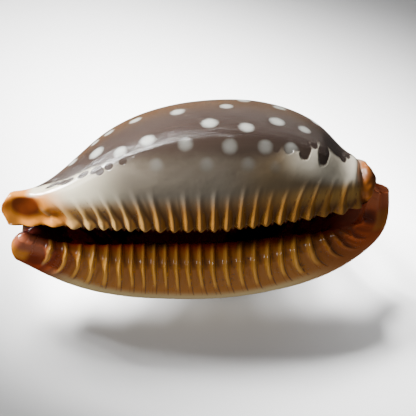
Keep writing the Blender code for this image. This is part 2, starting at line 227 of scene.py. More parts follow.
# Columns lie closer together near the lips, where the ribs end in teeth.  The girth
# counts from the inner lip's foot at 0 to the outer lip's foot at 4.
base_share = (np.arange(BASE_FACES) / BASE_FACES) ** 1.4
inner_share = np.arange(INNER_BACK_FACES) / INNER_BACK_FACES
outer_share = np.arange(OUTER_BACK_FACES) / OUTER_BACK_FACES
girth = np.concatenate(
    [base_share, 1.0 + inner_share, [2.0], 3.0 - outer_share[::-1], 4.0 - base_share[::-1]]
)
columns = len(girth)
outer = np.concatenate(
    [
        base_half("inner", -1, base_share[None, :]),
        back_half("inner", inner_share[None, :]),
        points(size["crest_x"], size["crest_y"], size["crest_z"]),
        back_half("outer", outer_share[None, ::-1]),
        base_half("outer", 1, base_share[None, ::-1]),
    ],
    axis=1,
)
# The hollow's wall is coarser: each of its columns serves four of the outside's.
partner = (np.arange(columns) + 2) // 4
inner = hollow(partner[-1] + 1)
lip_middle = (outer[:, -1, 1] + inner[:, -1, 1]) / 2.0
push = lip_middle - size["mouth_y"][:, 0] - size["mouth_half"][:, 0]
inner_edge = rounded_edge(outer[:, 0], inner[:, 0], points(0.0, push, 0.0))
outer_edge = rounded_edge(outer[:, -1], inner[:, -1], points(0.0, -push, 0.0))

# The round forms of the ends swell out along the normals, or sink in.
loops = np.concatenate([outer, outer_edge, inner[:, ::-1], inner_edge[:, ::-1]], axis=1)
normal = np.cross(
    np.gradient(loops, axis=0),
    np.roll(loops, -1, axis=1) - np.roll(loops, 1, axis=1),
)
normal /= np.linalg.norm(normal, axis=-1, keepdims=True)
edge_share = (np.arange(EDGE_POINTS) + 1.0) / (EDGE_POINTS + 1.0)
swelling = np.zeros(loops.shape[:2])
for at_place, at_girth, along_spread, round_spread, form_height in END_FORMS:
    away_along = (place - at_place) / along_spread
    away_round = (girth[None, :] - at_girth) / round_spread
    swelling[:, :columns] += form_height * np.exp(-(away_along**2 + away_round**2))
swelling[:, columns:columns + EDGE_POINTS] = swelling[:, columns - 1:columns] * (1.0 - edge_share)
swelling[:, -EDGE_POINTS:] = swelling[:, :1] * (1.0 - edge_share[::-1])
loops = loops + normal * swelling[..., None]
outer = loops[:, :columns]
outer_edge = loops[:, columns:columns + EDGE_POINTS]
inner_edge = loops[:, -EDGE_POINTS:][:, ::-1]

# Spots of the seen side of the back: along, round the girth, and how wide in millimetres.
SEEN_SPOTS = (
    (0.39, 0.55, 1.0), (0.525, 0.49, 1.0), (0.635, 0.49, 1.0), (0.705, 0.50, 0.9),
    (0.47, 0.73, 1.0), (0.583, 0.67, 1.05), (0.672, 0.70, 1.0), (0.733, 0.74, 1.0),
    (0.305, 0.90, 1.0), (0.375, 0.93, 1.15), (0.532, 1.02, 1.2), (0.625, 0.97, 1.1),
    (0.233, 1.05, 1.2), (0.70, 1.07, 1.15), (0.765, 1.07, 0.95), (0.45, 1.16, 1.1),
    (0.155, 1.23, 0.9), (0.225, 1.26, 0.8), (0.268, 1.27, 0.9), (0.34, 1.24, 1.0),
    (0.575, 1.20, 1.0), (0.62, 1.34, 1.0), (0.71, 1.30, 1.1), (0.80, 1.34, 0.9),
    (0.42, 1.42, 0.8), (0.52, 1.45, 0.9),
)
# Bays and drips where the back still shows through the edge of the callus: along, round
# the girth, and how far each reaches along and round the shell in millimetres.
BAYS = (
    (0.105, 0.97, 0.50, 0.36), (0.128, 0.93, 0.34, 0.40), (0.143, 0.88, 0.50, 0.44),
    (0.190, 0.83, 0.50, 0.50), (0.230, 0.78, 0.50, 0.46), (0.240, 0.72, 0.34, 0.46),
    (0.268, 0.74, 0.34, 0.50), (0.308, 0.73, 0.30, 0.44), (0.336, 0.79, 0.26, 0.40),
    (0.700, 0.74, 0.30, 0.60), (0.728, 0.76, 0.34, 0.70), (0.748, 0.84, 0.36, 0.90),
    (0.768, 0.82, 0.40, 1.45), (0.788, 0.96, 0.30, 0.80), (0.818, 0.88, 0.46, 1.95),
    (0.868, 1.16, 0.26, 0.90), (0.886, 1.04, 0.34, 1.00), (0.905, 1.14, 0.22, 0.80),
)


def place_on_shell(along, round_girth):
    """The point of the outside at these places, on the nearest cut and the next column."""
    cut = np.clip(np.rint(np.asarray(along) * CUTS).astype(int), 0, CUTS)
    column = np.searchsorted(girth, np.asarray(round_girth)).clip(0, columns - 1)
    return outer[cut, column]


# Elsewhere on the back the spots lie in staggered rows, each a little off its place.
SPOT_ROWS = 9
SPOTS_IN_ROW = 9
dice = np.random.default_rng(11)
spots = list(SEEN_SPOTS)
for row in range(SPOT_ROWS):
    for step in range(SPOTS_IN_ROW):
        along = 0.14 + 0.088 * step + 0.044 * (row % 2) + dice.uniform(-0.012, 0.012)
        round_girth = 1.58 + 0.16 * row + dice.uniform(-0.03, 0.03)
        spots.append((along, round_girth, dice.uniform(0.7, 1.0)))
spots = np.array(spots)
spot_points = place_on_shell(spots[:, 0], spots[:, 1])
# The length between the end cuts, and the way round for every 1 of girth: they turn
# distances between places on the shell into millimetres.
SHELL_LENGTH = 25.5
BACK_GIRTH = 8.0
# What a corner reads that lies away from every spot, or outside every bay.
NO_SPOT = 99.0
NO_BAY = -9.0


def nearness(grid, centres, radii):
    """The squared distance to the nearest centre, as a share of its squared radius."""
    apart = np.full(grid.shape[:-1], NO_SPOT)
    for centre, radius in zip(centres, radii):
        apart = np.minimum(apart, ((grid - centre) ** 2).sum(axis=-1) / radius**2)
    return apart


def bay_depth(along, around):
    """How deep a place lies in a bay of the callus's edge: 1 at its middle, 0 at its rim."""
    depth = np.full(along.shape, NO_BAY)
    for at_place, at_girth, reach_along, reach_round in BAYS:
        across = (along - at_place) * SHELL_LENGTH / reach_along
        down = (around - at_girth) * BACK_GIRTH / reach_round
        depth = np.maximum(depth, 1.0 - across**2 - down**2)
    return depth


class ShellMesh:
    """Collects grids of corners, the faces between them and their marks."""

    def __init__(self):
        self.corner_points = []
        self.marks = {"place": [], "girth": [], "inside": []}
        self.faces = []
        self.total = 0

    def corners(self, grid, along, around, inside):
        """Adds a grid of points with their place, girth and share inside the mouth."""
        self.corner_points.append(grid.reshape(-1, 3))
        for name, values in (("place", along), ("girth", around), ("inside", inside)):
            self.marks[name].append(np.broadcast_to(values, grid.shape[:-1]).ravel())
        count = grid[..., 0].size
        numbers = np.arange(self.total, self.total + count).reshape(grid.shape[:-1])
        self.total += count
        return numbers

    def skin(self, grid):
        """Puts a face in every cell of a grid of corners, leaving out folded corners."""
        rings = np.stack([grid[:-1, :-1], grid[1:, :-1], grid[1:, 1:], grid[:-1, 1:]], axis=-1)
        for ring in rings.reshape(-1, 4).tolist():
            ring = list(dict.fromkeys(ring))
            if len(ring) > 2:
                self.faces.append(ring)


shell_mesh = ShellMesh()
outer_corners = shell_mesh.corners(outer, place, girth[None, :], 0.0)
inner_corners = shell_mesh.corners(inner, place, 2.0, 1.0)
into_mouth = edge_share[None, :]
inner_edge_corners = shell_mesh.corners(inner_edge, place, -into_mouth, into_mouth)
outer_edge_corners = shell_mesh.corners(outer_edge, place, 4.0 + into_mouth, into_mouth)


def framed(outside, middle, inside):
    """Sets rows of corners between the outside's corners and the hollow's."""
    return np.concatenate([outside[..., None], middle, inside[..., None]], axis=-1)


def close_canal(cut, inward, rim_bulge, rim_lean):
    """Rounds over the rim of a canal at the end cut, and the lips' ends beside it.

    The rim bulges on in the direction that the walls have from the cut further inward.
    """
    outside, wall = outer[cut], inner[cut][partner]
    before = (outer[cut + inward] + inner[cut + inward][partner]) / 2.0
    onward = (outside + wall) / 2.0 - before
    onward /= np.linalg.norm(onward, axis=-1, keepdims=True)
    onward[:, 0] -= np.sign(inward) * fair_curve(RIM_GIRTHS, rim_lean, girth)
    onward /= np.linalg.norm(onward, axis=-1, keepdims=True)
    thickness = np.linalg.norm(outside - wall, axis=-1)
    bulge = np.minimum(fair_curve(RIM_GIRTHS, rim_bulge, girth), thickness)[:, None] * onward
    along = place[cut, 0]
    rim_points = rounded_edge(outside, wall, bulge)
    rim = shell_mesh.corners(rim_points, along, girth[:, None], 0.9 * edge_share[None, :])
    strip = framed(outer_corners[cut], rim, inner_corners[cut][partner])
    shell_mesh.skin(strip)
    for column, side, edge in ((0, 1.0, inner_edge_corners), (-1, -1.0, outer_edge_corners)):
        last = strip[column]
        across = np.array([0.0, side * push[cut], 0.0])
        for step in range(1, CORNER_STEPS):
            turn = math.pi / 2.0 * step / CORNER_STEPS
            outward = bulge[column] * math.cos(turn) + across * math.sin(turn)
            row = rounded_edge(outside[column], wall[column], outward)
            numbers = shell_mesh.corners(row, along, girth[column], edge_share)
            between = np.concatenate([last[:1], numbers, last[-1:]])
            shell_mesh.skin(np.stack([last, between]))
            last = between
        lip_end = np.concatenate([last[:1], edge[cut], last[-1:]])
        shell_mesh.skin(np.stack([last, lip_end]))


shell_mesh.skin(outer_corners)
shell_mesh.skin(inner_corners)
shell_mesh.skin(framed(outer_corners[:, 0], inner_edge_corners, inner_corners[:, 0]))
shell_mesh.skin(framed(outer_corners[:, -1], outer_edge_corners, inner_corners[:, -1]))
close_canal(0, 4, FRONT_RIM, FRONT_RIM_LEAN)
close_canal(-1, -4, BACK_RIM, BACK_RIM_LEAN)

# Marks that the ribs and the enamel read, worked out once for every corner.
corner_points = np.concatenate(shell_mesh.corner_points)
marks = {name: np.concatenate(values) for name, values in shell_mesh.marks.items()}


def along_shell(name):
    """One named offset, read at the place of every corner."""
    return fair_curve(GIVEN_CUTS, OFFSETS[name], marks["place"])


from_inner = np.clip(marks["girth"], 0.0, 4.0)
from_outer = 4.0 - from_inner
inner_shift = along_shell("inner_lean") * np.clip(from_inner, 0.0, 1.2)
marks["inner_number"] = fair_curve(
    GIVEN_CUTS, OFFSETS["inner_rib"], np.clip(marks["place"] - inner_shift, 0.0, 1.0)
)
over_edge = np.minimum(4.0 - marks["girth"], 0.0)
outer_shift = along_shell("outer_lean") * np.clip(from_outer, 0.0, 1.2)
outer_shift += along_shell("outer_edge_lean") * over_edge
marks["outer_number"] = fair_curve(
    GIVEN_CUTS, OFFSETS["outer_rib"], np.clip(marks["place"] - outer_shift, 0.0, 1.0)
)
marks["inner_end"] = along_shell("inner_reach")
marks["outer_end"] = along_shell("outer_reach")
marks["glaze"] = along_shell("glaze_edge") - marks["girth"]
marks["glaze_softness"] = along_shell("glaze_softness")
marks["spot"] = nearness(corner_points, spot_points, spots[:, 2] / 2.0)
marks["bay"] = bay_depth(marks["place"], marks["girth"])
marks["knob"] = smooth_step(0.935, 0.955, marks["place"]) * smooth_step(1.7, 1.0, from_inner)

# How it lies: rolled on to the outer lip's side with its front end dipped a little, and
# shifted to stand over the origin on the flat that has worn there.
ROLL_DEG = -106.8
DIP_DEG = 1.4
SHIFT = (-0.0638, -5.3306, 7.3179)
dip = Matrix.Rotation(math.radians(DIP_DEG), 3, "Y")
roll = Matrix.Rotation(math.radians(ROLL_DEG), 3, "X")
lying = corner_points @ np.array(dip @ roll).T + SHIFT

shell_data = bpy.data.meshes.new("cowrie_shell")
shell_data.from_pydata((lying * MM).tolist(), [], shell_mesh.faces)
shell_data.shade_smooth()
for name, values in marks.items():
    layer = shell_data.attributes.new(name, "FLOAT", "POINT")
    layer.data.foreach_set("value", values.astype(np.float32))
shell = bpy.data.objects.new("cowrie_shell", shell_data)
bpy.context.scene.collection.objects.link(shell)


class Wire:
    """A socket in a node tree; arithmetic on it adds the Math nodes that work it out."""

    def __init__(self, tree, socket=None):
        self.tree = tree
        self.socket = socket

    def node(self, kind, settings=None, values=None, out=0):
        """Adds a node of any kind, sets it up, feeds it values or wires, gives one output."""
        made = self.tree.nodes.new(kind)
        for name, setting in (settings or {}).items():
            setattr(made, name, setting)
        for name, value in (values or {}).items():
            socket = self.find(made.inputs, name)
            if isinstance(value, Wire):
                self.tree.links.new(value.socket, socket)
            else:
                socket.default_value = value
        return Wire(self.tree, self.find(made.outputs, out))

    @staticmethod
    def find(sockets, name):
        """Picks a socket by its number, its identifier or else its name."""
        if isinstance(name, int):
            return sockets[name]
        named = [socket for socket in sockets if socket.identifier == name]
        return named[0] if named else sockets[name]

    def maths(self, operation, *values):
        """Adds one Math node that works on these values or wires."""
        return self.node("ShaderNodeMath", {"operation": operation}, dict(enumerate(values)))

    def __add__(self, other):
        return self.maths("ADD", self, other)

    def __sub__(self, other):
        return self.maths("SUBTRACT", self, other)

    def __rsub__(self, other):
        return self.maths("SUBTRACT", other, self)

    def __mul__(self, other):
        return self.maths("MULTIPLY", self, other)

    def __truediv__(self, other):
        return self.maths("DIVIDE", self, other)

    def __pow__(self, other):
        return self.maths("POWER", self, other)

    __radd__ = __add__
    __rmul__ = __mul__

    def at_least(self, other):
        """This value, or the other one where that is larger."""
        return self.maths("MAXIMUM", self, other)

    def ease(self, start, end):
        """Rises smoothly from 0 at start to 1 at end, or falls when end is below start."""
        return self.node(
            "ShaderNodeMapRange",
            {"interpolation_type": "SMOOTHSTEP"},
            {"Value": self, "From Min": start, "From Max": end},
        )

    def tint(self, below, above):
        """A colour that goes from below where this is 0 to above where it is 1."""
        return self.node(
            "ShaderNodeMix",
            {"data_type": "RGBA"},
            {"Factor_Float": self, "A_Color": below, "B_Color": above},
            "Result_Color",
        )


# The ribs cross the base from each lip and end in the mouth as teeth.  They are raised
# from the plain shell along its normals, each a little different from its neighbours.
rib_tree = bpy.data.node_groups.new("shell_ribs", "GeometryNodeTree")
rib_tree.is_modifier = True
RIB_INPUTS = {
    "Inner Height": 0.31 * MM,
    "Inner Sharpness": 2.5,
    "Outer Height": 0.32 * MM,
    "Outer Sharpness": 3.6,
    "Thread Height": 0.07 * MM,
    "Lump Height": 0.28 * MM,
    "Unevenness": 0.30,
    "Seed": 4.0,
}
rib_tree.interface.new_socket("Geometry", in_out="INPUT", socket_type="NodeSocketGeometry")
for name in RIB_INPUTS:
    rib_tree.interface.new_socket(name, in_out="INPUT", socket_type="NodeSocketFloat")
rib_tree.interface.new_socket("Enamel", in_out="INPUT", socket_type="NodeSocketMaterial")
rib_tree.interface.new_socket("Geometry", in_out="OUTPUT", socket_type="NodeSocketGeometry")
ribs = Wire(rib_tree)
rib_input = rib_tree.nodes.new("NodeGroupInput")


def rib_setting(name):
    """One of the tree's named inputs."""
    return Wire(rib_tree, rib_input.outputs[name])


def mark(name):
    """One of the marks stored on the shell's corners."""
    return ribs.node(
        "GeometryNodeInputNamedAttribute", {"data_type": "FLOAT"}, {"Name": name}, "Attribute"
    )


def chance(index, salt):
    """A fixed random number from 0 to 1 for each rib."""
    return ribs.node(
        "ShaderNodeTexWhiteNoise",
        {"noise_dimensions": "1D"},
        {"W": index * 7.31 + (rib_setting("Seed") + salt)},
        "Value",
    )


def rib_row(lip, from_lip, salt, fullness):
    """The ribs of one lip, from 0 to about 1, rounder at the lip, and the threads between."""
    number = mark(lip + "_number")
    index = number.maths("ROUND", number)
    phase = (number - index) * (2.0 * math.pi)
    swing = phase.maths("COSINE", phase)
    luck = chance(index, salt) - 0.5
    uneven = rib_setting("Unevenness")
    sharpness = rib_setting(lip.capitalize() + " Sharpness") * (1.0 + luck * uneven)
    end = mark(lip + "_end") + (chance(index, salt + 3.0) - 0.5) * uneven * 0.5
    reach = from_lip.ease(end * 0.80, 0.0) * (1.0 + from_lip.ease(0.12, 0.0) * fullness)
    body = (0.5 + 0.5 * swing) ** (sharpness * (1.0 - from_lip.ease(0.18, 0.02) * fullness))
    wave = body * reach * (1.0 + (chance(index, salt + 5.0) - 0.5) * uneven)
    wave = wave * (1.0 - mark("knob"))
    between = number + 0.5
    gap_luck = chance(between.maths("ROUND", between), salt + 9.0)
    thread = (0.5 - 0.5 * swing) ** 7.0 * gap_luck.ease(0.45, 0.75)
    return wave, thread * reach * from_lip.ease(0.02, 0.12)


ends = mark("place").ease(0.0, 0.05) * mark("place").ease(1.0, 0.955)
lip_fade = mark("inside").ease(1.0, 0.0)
from_inner_lip = mark("girth").at_least(0.0)
from_outer_lip = (4.0 - mark("girth")).at_least(0.0)
inner_wave, inner_thread = rib_row("inner", from_inner_lip, 0.0, 0.70)
outer_wave, outer_thread = rib_row("outer", from_outer_lip, 100.0, 0.2)
lumps = ribs.node(
    "ShaderNodeTexNoise",
    {},
    {"Scale": 900.0, "Detail": 1.0, "Roughness": 0.4},
)
height = (
    (
        inner_wave * rib_setting("Inner Height")
        + outer_wave * rib_setting("Outer Height")
        + (inner_thread * 0.6 + outer_thread) * rib_setting("Thread Height")
    )
    * ends
    + (lumps - 0.5) * mark("knob") * rib_setting("Lump Height") * 2.0
) * lip_fade
ridge = (inner_wave + outer_wave) * ends
offset = ribs.node(
    "ShaderNodeVectorMath",
    {"operation": "SCALE"},
    {"Vector": ribs.node("GeometryNodeInputNormal"), "Scale": height},
    "Vector",
)
raised = ribs.node(
    "GeometryNodeSetPosition",
    {},
    {"Geometry": Wire(rib_tree, rib_input.outputs["Geometry"]), "Offset": offset},
    "Geometry",
)
marked = ribs.node(
    "GeometryNodeStoreNamedAttribute",
    {"data_type": "FLOAT", "domain": "POINT"},
    {"Geometry": raised, "Name": "ridge", "Value": ridge},
    "Geometry",
)
real = ribs.node("GeometryNodeRealizeInstances", {}, {"Geometry": marked}, "Geometry")
finished = ribs.node(
    "GeometryNodeSetMaterial",
    {},
    {"Geometry": real, "Material": rib_setting("Enamel")},
    "Geometry",
)
rib_output = rib_tree.nodes.new("NodeGroupOutput")
rib_tree.links.new(finished.socket, rib_output.inputs["Geometry"])

# Enamel.  A mauve-brown back with white spots, glazed over at the sides by cream callus;
# tan ribs with darker grooves, thin brown lines and specks of dirt; burnt orange ends.
enamel = bpy.data.materials.new("shell_enamel")
enamel.use_nodes = True
shader = enamel.node_tree.nodes["Principled BSDF"]
coat = Wire(enamel.node_tree)
# The back, its spots and the clear glaze over them.
MAUVE_BROWN = (0.040, 0.024, 0.018, 1.0)
WARM_BROWN = (0.110, 0.052, 0.016, 1.0)
STREAK_BROWN = (0.018, 0.009, 0.007, 1.0)
SPOT_WHITE = (0.60, 0.62, 0.56, 1.0)
GLAZE_BROWN = (0.066, 0.050, 0.036, 1.0)
# The callus: greyish at the middle, cream in front, olive and pale cream at the back.
# The grey at the middle and the cream in front are partly the callus's own tone and partly painted
# light and shade: darker where it faces away from the key, brighter where the key falls and glints.
SHADED_GREY_CREAM = (0.25, 0.212, 0.16, 1.0)
CREAM = (0.92, 0.83, 0.60, 1.0)
OLIVE = (0.185, 0.130, 0.070, 1.0)
PALE_CREAM = (0.86, 0.78, 0.61, 1.0)
# The inner ribs and their grooves.
GOLD = (0.32, 0.135, 0.018, 1.0)
RIB_CREAM = (0.62, 0.36, 0.105, 1.0)
GROOVE_BROWN = (0.15, 0.060, 0.012, 1.0)
OCHRE = (0.34, 0.165, 0.034, 1.0)
OLIVE_GOLD = (0.48, 0.26, 0.055, 1.0)
# The outer ribs, their grooves, the thin lines beside them and the dirt.
OUTER_GOLD = (0.76, 0.36, 0.060, 1.0)
OUTER_GROOVE = (0.44, 0.165, 0.026, 1.0)
BEIGE = (0.68, 0.49, 0.22, 1.0)
AMBER = (0.26, 0.058, 0.003, 1.0)
LINE_BROWN = (0.16, 0.055, 0.012, 1.0)
DIRT = (0.045, 0.020, 0.008, 1.0)
# The front end and its two lobes.
ORANGE = (0.74, 0.25, 0.022, 1.0)
# A very dark brown for the front lobe's hollow: partly its own burnt tone, partly painted shade.
HOLLOW_SHADE_BROWN = (0.085, 0.010, 0.0015, 1.0)
BURNT = (0.24, 0.032, 0.004, 1.0)
MAUVE = (0.34, 0.095, 0.042, 1.0)
RIM_GOLD = (0.66, 0.22, 0.018, 1.0)
# The back end: its knob and its lobe.
OLD_ORANGE = (0.20, 0.055, 0.004, 1.0)
KNOB_GOLD = (0.52, 0.140, 0.004, 1.0)
RED_BROWN = (0.52, 0.080, 0.008, 1.0)
LOBE_VIOLET = (0.84, 0.22, 0.075, 1.0)
# The mouth.
THROAT = (0.50, 0.016, 0.005, 1.0)
# A near-black red, painted as shade in the mouth and in the back lobe's hollow.
SHADE_DARK_RED = (0.035, 0.005, 0.003, 1.0)
MAUVE_WALL = (0.80, 0.32, 0.20, 1.0)


def stored(name):
    """A mark stored on the shell, read by its enamel."""
    return coat.node("ShaderNodeAttribute", {"attribute_name": name}, {}, "Fac")


def grain(scale, detail, point, rough=0.5):
    """Cloudy noise from 0 to 1 at a place in space."""
    return coat.node(
        "ShaderNodeTexNoise",
        {},
        {"Vector": point, "Scale": scale, "Detail": detail, "Roughness": rough},
    )


def phase_of(lip):
    """Where a point lies between one rib's crest at 0 and the grooves at -0.5 and 0.5."""
    number = stored(lip + "_number")
    return number - number.maths("ROUND", number)


def band(value, middle, reach, edge):
    """1 near the middle of a range, easing to 0 beyond its reach."""
    off = value - middle
    return off.maths("ABSOLUTE", off).ease(reach + edge, reach)


def oval(at_place, at_girth, reach_along, reach_round):
    """The squared distance from the middle of an oval patch: 0 there, and 1 at its edge."""
    across = (along - at_place) / reach_along
    down = (around - at_girth) / reach_round
    return across * across + down * down


spot_place = coat.node("ShaderNodeTexCoord", {}, {}, "Object")
along, around, ridge_mark = stored("place"), stored("girth"), stored("ridge")
inside, knob = stored("inside"), stored("knob")
from_inner = around.at_least(0.0)
from_outer = (4.0 - around).at_least(0.0)
lengthwise = coat.node("ShaderNodeCombineXYZ", {}, {"X": along * 9.0, "Y": around * 70.0, "Z": 0.0})
cloud = grain(420.0, 3.0, spot_place)
speck = grain(5200.0, 2.0, spot_place)
fine = grain(2600.0, 3.0, spot_place)
streaks = grain(1.0, 4.0, lengthwise, 0.65)

# The painted back, which shows where the callus is thin and in the bays of its edge.
glaze = stored("glaze") + (grain(1300.0, 2.0, spot_place) - 0.5) * 0.10
softness = stored("glaze_softness")
bay = stored("bay") + (grain(1500.0, 3.0, spot_place) - 0.5) * 1.1
thin = glaze.ease(softness, softness * -1.0) * around.ease(3.05, 2.95)
thin = thin.at_least(bay.ease(-0.30, 0.30))
callus = 1.0 - thin
colour = around.ease(1.10, 1.35).tint(MAUVE_BROWN, WARM_BROWN)
colour = (streaks.ease(0.56, 0.70) * 0.65).tint(colour, STREAK_BROWN)

# Lower down the side the spots lie under clear glaze, which blurs and dims them.
glazed = along.ease(0.24, 0.34)
blur = (around.ease(0.93, 0.72) * 0.6 + around.ease(0.64, 0.46) * 0.4) * glazed
dimmed = (around.ease(0.93, 0.74) * 0.60 + around.ease(0.64, 0.46) * 0.05) * glazed
spot = stored("spot") + (fine - 0.5) * 0.55
spot = spot.ease(1.40 + blur * 0.5, 0.02 - blur * 0.70)
colour = (blur * 0.55).tint(colour, GLAZE_BROWN)
colour = (spot * (0.86 - dimmed)).tint(colour, SPOT_WHITE)

# The callus over it, which fades out at its edge and changes colour along the shell.
# Part of that change is painted light and shade: cream brightened in front where the key falls,
# grey at the middle where it faces away.
thick = along.ease(0.32, 0.14).tint(SHADED_GREY_CREAM, CREAM)
thick = (along.ease(0.55, 0.70) * around.ease(0.90, 0.55)).tint(thick, OLIVE)
thick = (along.ease(0.70, 0.80) * around.ease(0.34, 0.60)).tint(thick, PALE_CREAM)
colour = (callus * (0.88 - spot * blur * 0.45)).tint(colour, thick)

# The base: ribs from the inner lip and from the outer lip, and the smooth margin beyond.
inner_base = from_inner.ease(stored("inner_end") * 0.72, stored("inner_end") * 0.28)
outer_base = around.ease(3.00, 3.30)
inner_groove = from_inner.ease(0.05, 0.26).tint(GROOVE_BROWN, OCHRE)
inner_groove = (along.ease(0.62, 0.85) * from_inner.ease(0.05, 0.30)).tint(inner_groove, OLIVE_GOLD)
inner_crest = along.ease(0.45, 0.15).tint(GOLD, RIB_CREAM)
inner_tint = ridge_mark.ease(0.05, 0.6).tint(inner_groove, inner_crest)
colour = (inner_base * 0.95).tint(colour, inner_tint)
outer_tint = ridge_mark.ease(0.0, 0.55).tint(OUTER_GROOVE, OUTER_GOLD)
outer_tint = (from_outer.ease(0.30, 0.50) * along.ease(0.90, 0.72)).tint(outer_tint, BEIGE)
outer_tint = (along.ease(0.79, 0.92) * 0.85).tint(outer_tint, AMBER)
colour = outer_base.tint(colour, outer_tint)
inner_phase, outer_phase = phase_of("inner"), phase_of("outer")
beside = band(outer_phase, 0.17, 0.015, 0.05) + band(outer_phase, -0.17, 0.005, 0.04) * 0.5
outer_line = beside * from_outer.ease(0.46, 0.36) * fine.ease(0.30, 0.50)
inner_line = band(inner_phase, -0.26, 0.02, 0.06) * inner_base * fine.ease(0.42, 0.58) * 0.6
colour = (outer_line * 0.8 + inner_line).tint(colour, LINE_BROWN)
grime = along.ease(0.04, 0.09) * speck.ease(0.57, 0.72) * cloud.ease(0.46, 0.62)
grime = grime * ridge_mark.ease(0.5, 0.1) * (outer_base * from_outer.ease(0.50, 0.40) + inner_base)
colour = (grime * 0.75).tint(colour, DIRT)

# The ends: orange and burnt brown in front, with a golden knob and a red-brown lobe behind.
front_end = along.ease(0.14, 0.06) * from_inner.ease(0.95, 0.70)
front_end = front_end.at_least(along.ease(0.06, 0.03)) * around.ease(1.9, 1.3)
pale_ribs = ridge_mark.ease(0.2, 0.7) * from_inner.ease(0.10, 0.28) * 0.75
colour = (front_end * (1.0 - pale_ribs)).tint(colour, ORANGE)
# The front lobe's hollow darkened, partly its own burnt tone and partly painted shade in the
# recess.
front_hollow = oval(0.030, 0.50, 0.034, 0.36).ease(1.5, 0.5)
colour = (front_hollow * 0.95).tint(colour, HOLLOW_SHADE_BROWN)
front_outer = along.ease(0.15, 0.05) * outer_base * (1.0 - ridge_mark.ease(0.2, 0.7) * 0.7)
colour = front_outer.tint(colour, BURNT)
lower_lobe = along.ease(0.055, 0.03) * around.ease(3.55, 3.80)
colour = lower_lobe.tint(colour, MAUVE)
lobe_rim = along.ease(0.020, 0.002) * around.ease(3.28, 3.48) * around.ease(3.90, 3.62)
colour = lobe_rim.tint(colour, RIM_GOLD)
colour = knob.tint(colour, cloud.ease(0.35, 0.65).tint(OLD_ORANGE, KNOB_GOLD))
back_outer = along.ease(0.90, 0.97) * around.ease(1.9, 2.3)
colour = back_outer.tint(colour, along.ease(0.975, 0.992).tint(RED_BROWN, LOBE_VIOLET))
# The hollow in the outer lip's back lobe is darkened with painted shade, broken up by noise.
back_hollow = (oval(0.973, 3.80, 0.009, 0.28) + (fine - 0.5) * 1.5).ease(1.4, 0.3)
colour = (back_hollow * 0.45).tint(colour, SHADE_DARK_RED)
back_fold = band(along, 0.968, 0.008, 0.010) * band(around, 3.33, 0.12, 0.16)
colour = (back_fold * 0.7).tint(colour, ORANGE)

# The mouth: painted shade between the teeth where the inner lip turns into the slit, and a dark red
# hollow, mottled darker with painted shade, that pales to mauve at the back.
colour = (around.ease(-0.02, -0.12) * ridge_mark.ease(0.7, 0.2)).tint(colour, SHADE_DARK_RED)
throat = (cloud.ease(0.46, 0.60) + along.ease(0.13, 0.06)).ease(0.0, 1.0)
throat = throat.tint(THROAT, SHADE_DARK_RED)
throat = along.ease(0.86, 0.93).tint(throat, MAUVE_WALL)
colour = inside.ease(0.3, 0.8).tint(colour, throat)
enamel.node_tree.links.new(colour.socket, shader.inputs["Base Color"])

# The gloss, duller in the dirt and on the knob, and the small unevenness, in millimetres,
# that breaks up its reflections.
roughness = 0.13 + fine * 0.10 + grime * 0.4 + outer_line * 0.15 + knob * 0.30
enamel.node_tree.links.new(roughness.socket, shader.inputs["Roughness"])
relief = (
    callus * 0.055
    + streaks * thin * around.ease(0.74, 0.86) * 0.055
    + cloud * 0.060
    + fine * 0.006
    - outer_line * 0.020
    - grime * 0.008
) * MM
bump = coat.node("ShaderNodeBump", {}, {"Height": relief, "Distance": 1.0, "Strength": 1.0})
enamel.node_tree.links.new(bump.socket, shader.inputs["Normal"])
shader.inputs["IOR"].default_value = 1.58

modifier = shell.modifiers.new("ribs", "NODES")
modifier.node_group = rib_tree
for item in rib_tree.interface.items_tree:
    if item.in_out == "INPUT" and item.name in RIB_INPUTS:
        modifier[item.identifier] = RIB_INPUTS[item.name]
    elif item.in_out == "INPUT" and item.name == "Enamel":
        modifier[item.identifier] = enamel
ribbed = bpy.data.meshes.new_from_object(shell.evaluated_get(bpy.context.evaluated_depsgraph_get()))
shell.modifiers.clear()
shell.data = ribbed

# The finished shell fills the same space as the solid, less a hair, and lies on its flat.
SNUG = 0.9999
corner_array = np.empty(len(ribbed.vertices) * 3)
ribbed.vertices.foreach_get("co", corner_array)
corner_array = corner_array.reshape(-1, 3)
corner_array[:, 2] = np.maximum(corner_array[:, 2], 0.0)
least, most = corner_array.min(axis=0), corner_array.max(axis=0)
low, high = (np.array(corner) for corner in cad_box)
corner_array = (corner_array - least) / (most - least) * (high - low) * SNUG + low
ribbed.vertices.foreach_set("co", corner_array.ravel())
ribbed.update()
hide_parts("shell")
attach(shell, "root")

# ---------------------------------------------------------------------------------------
# Floor.  A plain pale studio floor, wide enough to fill every view.
# ---------------------------------------------------------------------------------------
FLOOR_HALF = 1.5
floor_data = bpy.data.meshes.new("floor")
floor_data.from_pydata(
    [
        (-FLOOR_HALF, -FLOOR_HALF, 0.0),
        (FLOOR_HALF, -FLOOR_HALF, 0.0),
        (FLOOR_HALF, FLOOR_HALF, 0.0),
        (-FLOOR_HALF, FLOOR_HALF, 0.0),
    ],
    [],
    [(0, 1, 2, 3)],
)
floor = bpy.data.objects.new("floor", floor_data)
bpy.context.scene.collection.objects.link(floor)
floor_paint = bpy.data.materials.new("floor_paint")
floor_paint.use_nodes = True
floor_shader = floor_paint.node_tree.nodes["Principled BSDF"]
floor_shader.inputs["Base Color"].default_value = (0.80, 0.80, 0.80, 1.0)
floor_shader.inputs["Roughness"].default_value = 0.9
floor_shader.inputs["Specular IOR Level"].default_value = 0.1
floor_data.materials.append(floor_paint)
# A lamp throws the floor's light up, so the floor itself neither lights the shell nor
# shows in it.
floor.visible_diffuse = False
floor.visible_glossy = False

